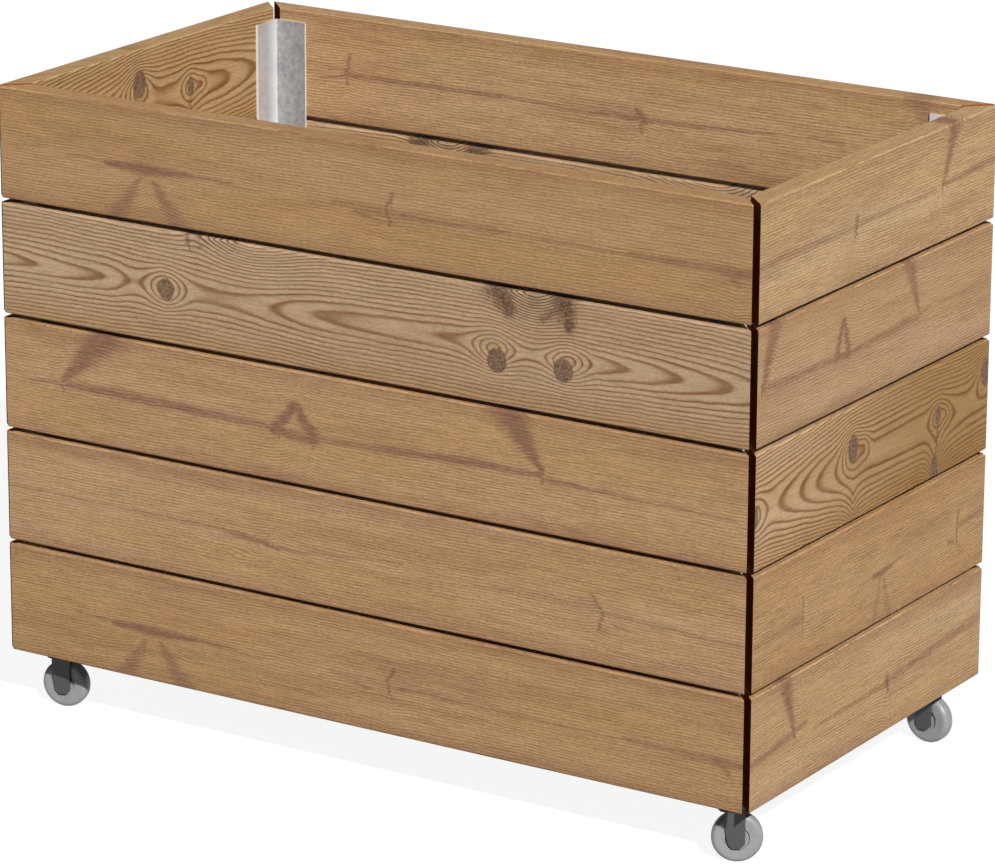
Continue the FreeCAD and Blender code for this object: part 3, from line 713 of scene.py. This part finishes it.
def wheel_plastic():
    """Light grey moulded plastic with a satin tread."""
    material = new_material("wheel_plastic")
    graph = Graph(material.node_tree)
    point = graph.node("TexCoord").outputs["Object"]
    cloud = graph.noise(point, (90.0, 90.0, 90.0), 3.0)
    grain = graph.noise(point, (1100.0, 1100.0, 1100.0), 2.0)
    colour = graph.mix(graph.fit(cloud, 0.3, 0.7), srgb(130, 130, 130), srgb(138, 138, 138))
    shader = material.node_tree.nodes["Principled BSDF"]
    graph.feed(shader.inputs["Base Color"], colour)
    graph.feed(shader.inputs["Roughness"], graph.fit(cloud, 0.2, 0.8, 0.34, 0.46))
    graph.feed(shader.inputs["Normal"], graph.bump(grain, 0.0001, 0.5))
    return material


def dress(node, material):
    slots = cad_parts[node].data.materials
    if slots:
        slots[0] = material
    else:
        slots.append(material)


def dress_boards():
    for seed, (node, (figure, side)) in enumerate(CALM_BOARDS.items()):
        dress(node, calm_board(node, CALM[figure], side, seed))
    for seed, (node, (figure, side, *tints)) in enumerate(FIGURED_BOARDS.items()):
        dress(node, figured_board(node, FIGURES[figure], side, tints, seed + 0.5))
    floor_nodes = sorted(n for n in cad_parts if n.startswith("floor_") and n != "floor_screws")
    for seed, node in enumerate(floor_nodes):
        dress(node, plain_batten(node, seed))


def dress_hardware():
    sheet, plated, paint, plastic = galvanised(), bright_zinc(), powder_coat(), wheel_plastic()
    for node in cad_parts:
        if node.startswith("corner_angle") or node == "wall_nails":
            dress(node, sheet)
        elif node.endswith(("_fork", "_head", "_axle")):
            dress(node, paint)
        elif node.endswith("_wheel"):
            dress(node, plastic)
        elif node.endswith(("screws", "_balls", "_nuts", "_washers")):
            dress(node, plated)


def stage_piece(name, mesh, frequency, base, glow):
    """A matt glowing piece of the studio. Its base and its glow each vary softly between two greys."""
    piece = bpy.data.objects.new(name, mesh)
    bpy.context.scene.collection.objects.link(piece)
    material = new_material(name)
    graph = Graph(material.node_tree)
    cloud = graph.noise(graph.node("TexCoord").outputs["Object"], (frequency, frequency, frequency))
    shader = material.node_tree.nodes["Principled BSDF"]
    for socket, greys in (("Base Color", base), ("Emission Color", glow)):
        dark, light = ((grey, grey, grey, 1.0) for grey in greys)
        graph.feed(shader.inputs[socket], light if dark == light else graph.mix(cloud, dark, light))
    shader.inputs["Emission Strength"].default_value = 1.0
    shader.inputs["Roughness"].default_value = 0.9
    shader.inputs["Specular IOR Level"].default_value = 0.0
    mesh.materials.append(material)
    return piece


def add_floor():
    """A pale floor. Its own glow keeps the shadow faint, and doesn't light the object."""
    mesh = bpy.data.meshes.new("studio_floor")
    signs = ((-1, -1), (1, -1), (1, 1), (-1, 1))
    corners = [(x * FLOOR_REACH, y * FLOOR_REACH, FLOOR_LEVEL) for x, y in signs]
    mesh.from_pydata(corners, [], [(0, 1, 2, 3)])
    floor = stage_piece("studio_floor", mesh, 0.6, (0.12, 0.14), (0.90, 0.90))
    floor.visible_diffuse = False


def add_backdrop():
    """A white dome for the camera alone: it casts no light or shadow on the object."""
    mesh = bpy.data.meshes.new("studio_dome")
    shape = bmesh.new()
    bmesh.ops.create_uvsphere(shape, u_segments=64, v_segments=32, radius=DOME_RADIUS)
    shape.to_mesh(mesh)
    shape.free()
    dome = stage_piece("studio_dome", mesh, 0.05, (0.0, 0.0), (0.97, 1.0))
    dome.visible_diffuse = dome.visible_glossy = dome.visible_shadow = False


def add_sun(name, energy, softness, direction, shine=True):
    """A distant lamp shining from the given direction; softness is its angle, shine its reflections."""
    sun = bpy.data.lights.new(name, "SUN")
    sun.energy = energy
    sun.angle = math.radians(softness)
    lamp = bpy.data.objects.new(name, sun)
    lamp.rotation_euler = Vector(direction).to_track_quat("Z", "Y").to_euler()
    lamp.visible_glossy = shine
    bpy.context.scene.collection.objects.link(lamp)


def add_light():
    """A key lamp from the front right, a low fill from the back left, and a weak white world."""
    add_sun("key", 5.2, 2.0, KEY_FROM)
    add_sun("fill", 3.0, 6.0, FILL_FROM, shine=False)
    world = bpy.data.worlds.new("studio")
    world.use_nodes = True
    background = world.node_tree.nodes["Background"]
    background.inputs["Color"].default_value = (1.0, 1.0, 1.0, 1.0)
    background.inputs["Strength"].default_value = WORLD_LIGHT
    bpy.context.scene.world = world


def add_camera():
    data = bpy.data.cameras.new("camera")
    data.sensor_width = 36.0
    data.lens = CAMERA_LENS
    data.clip_end = 50.0
    camera = bpy.data.objects.new("camera", data)
    camera.location = CAMERA_PLACE
    aim = Euler((math.radians(90.0 - CAMERA_PITCH), 0.0, math.radians(CAMERA_HEADING))).to_matrix()
    roll = Euler((0.0, 0.0, math.radians(CAMERA_ROLL))).to_matrix()
    camera.rotation_euler = (aim @ roll).to_euler()
    bpy.context.scene.collection.objects.link(camera)
    bpy.context.scene.camera = camera


dress_boards()
dress_hardware()
add_floor()
add_backdrop()
add_light()
add_camera()
bpy.context.scene.view_settings.view_transform = "Standard"
